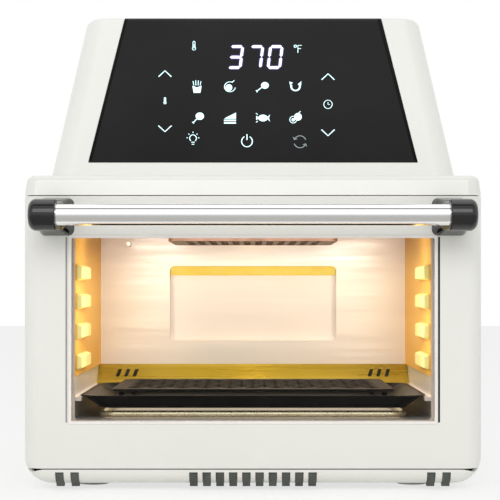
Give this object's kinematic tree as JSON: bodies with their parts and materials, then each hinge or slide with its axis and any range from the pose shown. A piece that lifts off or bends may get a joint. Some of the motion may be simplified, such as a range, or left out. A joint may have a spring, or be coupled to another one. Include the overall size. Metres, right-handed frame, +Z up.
{
  "type": "air fryer oven",
  "caption": "Countertop air fryer oven with a leaning touch panel, a bottom-hinged glazed door with a bar handle, a lit cavity, tray, rack, fan and elements.",
  "frame": {"origin": "on the table, under the centre of the lower body", "axes": "+Z up, +X to the right seen from the front, front towards -Y"},
  "size_m": [0.368, 0.3825, 0.397],
  "materials": {
    "white_shell": "gloss",
    "black_plastic": "satin",
    "touch_black": "gloss",
    "window_glass": "clear",
    "lamp_clear": "clear",
    "chrome": "polished",
    "cavity_steel": "satin",
    "grey_steel": "satin",
    "black_enamel": "satin",
    "element_steel": "satin",
    "aluminium": "satin",
    "rubber": "matt",
    "silicone": "matt",
    "board_green": "satin",
    "ceramic": "satin",
    "dark_vent": "satin"
  },
  "bodies": {
    "housing": {"base_pan": "white_shell", "vent_grille": "dark_vent", "feet": "rubber", "lower_housing": "white_shell", "cord_bush": "rubber", "head_shell": "white_shell", "touch_panel": "touch_black", "rear_cover": "white_shell", "rear_screws": "grey_steel", "hinge_brackets": "grey_steel", "front_frame": "cavity_steel", "door_seal": "silicone", "catch_magnets": "grey_steel", "door_switch": "black_plastic", "cavity_wall_left": "cavity_steel", "cavity_wall_right": "cavity_steel", "cavity_floor_pan": "cavity_steel", "cavity_back_wall": "cavity_steel", "rear_baffle": "cavity_steel", "lower_element": "element_steel", "cavity_ceiling": "cavity_steel", "fan_shroud": "grey_steel", "element_bushes": "ceramic", "heating_element": "element_steel", "element_guard": "element_steel", "fan_motor": "grey_steel", "motor_bracket": "grey_steel", "lamp_glass": "lamp_clear", "lamp_socket": "ceramic", "lamp_bulb": "lamp_clear", "temperature_probe": "grey_steel", "thermal_cutout": "ceramic", "display_module": "black_plastic", "control_board": "board_green", "power_board": "board_green"},
    "door": {"door_frame": "white_shell", "hinge_pins": "grey_steel", "door_liner": "white_shell", "glass_seal": "silicone", "outer_glass": "window_glass", "inner_glass": "window_glass", "window_trim": "chrome", "handle_bar": "chrome", "handle_cap_left": "black_plastic", "handle_cap_right": "black_plastic", "handle_screws": "grey_steel", "catch_plates": "grey_steel"},
    "tray": {"drip_tray": "black_enamel"},
    "rack": {"mesh_rack": "black_enamel"},
    "rotor": {"convection_fan": "aluminium", "cooling_fan": "aluminium", "fan_shaft": "grey_steel"},
    "plunger": {"switch_plunger": "ceramic"}
  },
  "joints": [
    {"name": "door_hinge", "type": "hinge", "parent": "housing", "child": "door", "pos_m": [0, -0.16, 0.022], "axis": [1, 0, 0], "range_deg": [0, 75]},
    {"name": "tray_slide", "type": "slide", "parent": "housing", "child": "tray", "axis": [0, -1, 0], "range_m": [0, 0.06]},
    {"name": "rack_lift", "type": "slide", "parent": "tray", "child": "rack", "axis": [0, 0, 1], "range_m": [0, 0.05]},
    {"name": "fan_spin", "type": "hinge", "parent": "housing", "child": "rotor", "pos_m": [0, -0.016, 0.26], "axis": [0, 0, 1], "continuous": true},
    {"name": "plunger_slide", "type": "slide", "parent": "housing", "child": "plunger", "axis": [0, -1, 0], "range_m": [0, 0.003]}
  ],
  "couplings": [
    {"joint": "tray_slide", "follows": "door_hinge", "m_per_rad": 0.0458},
    {"joint": "plunger_slide", "follows": "door_hinge", "m_per_rad": 0.0022}
  ]
}
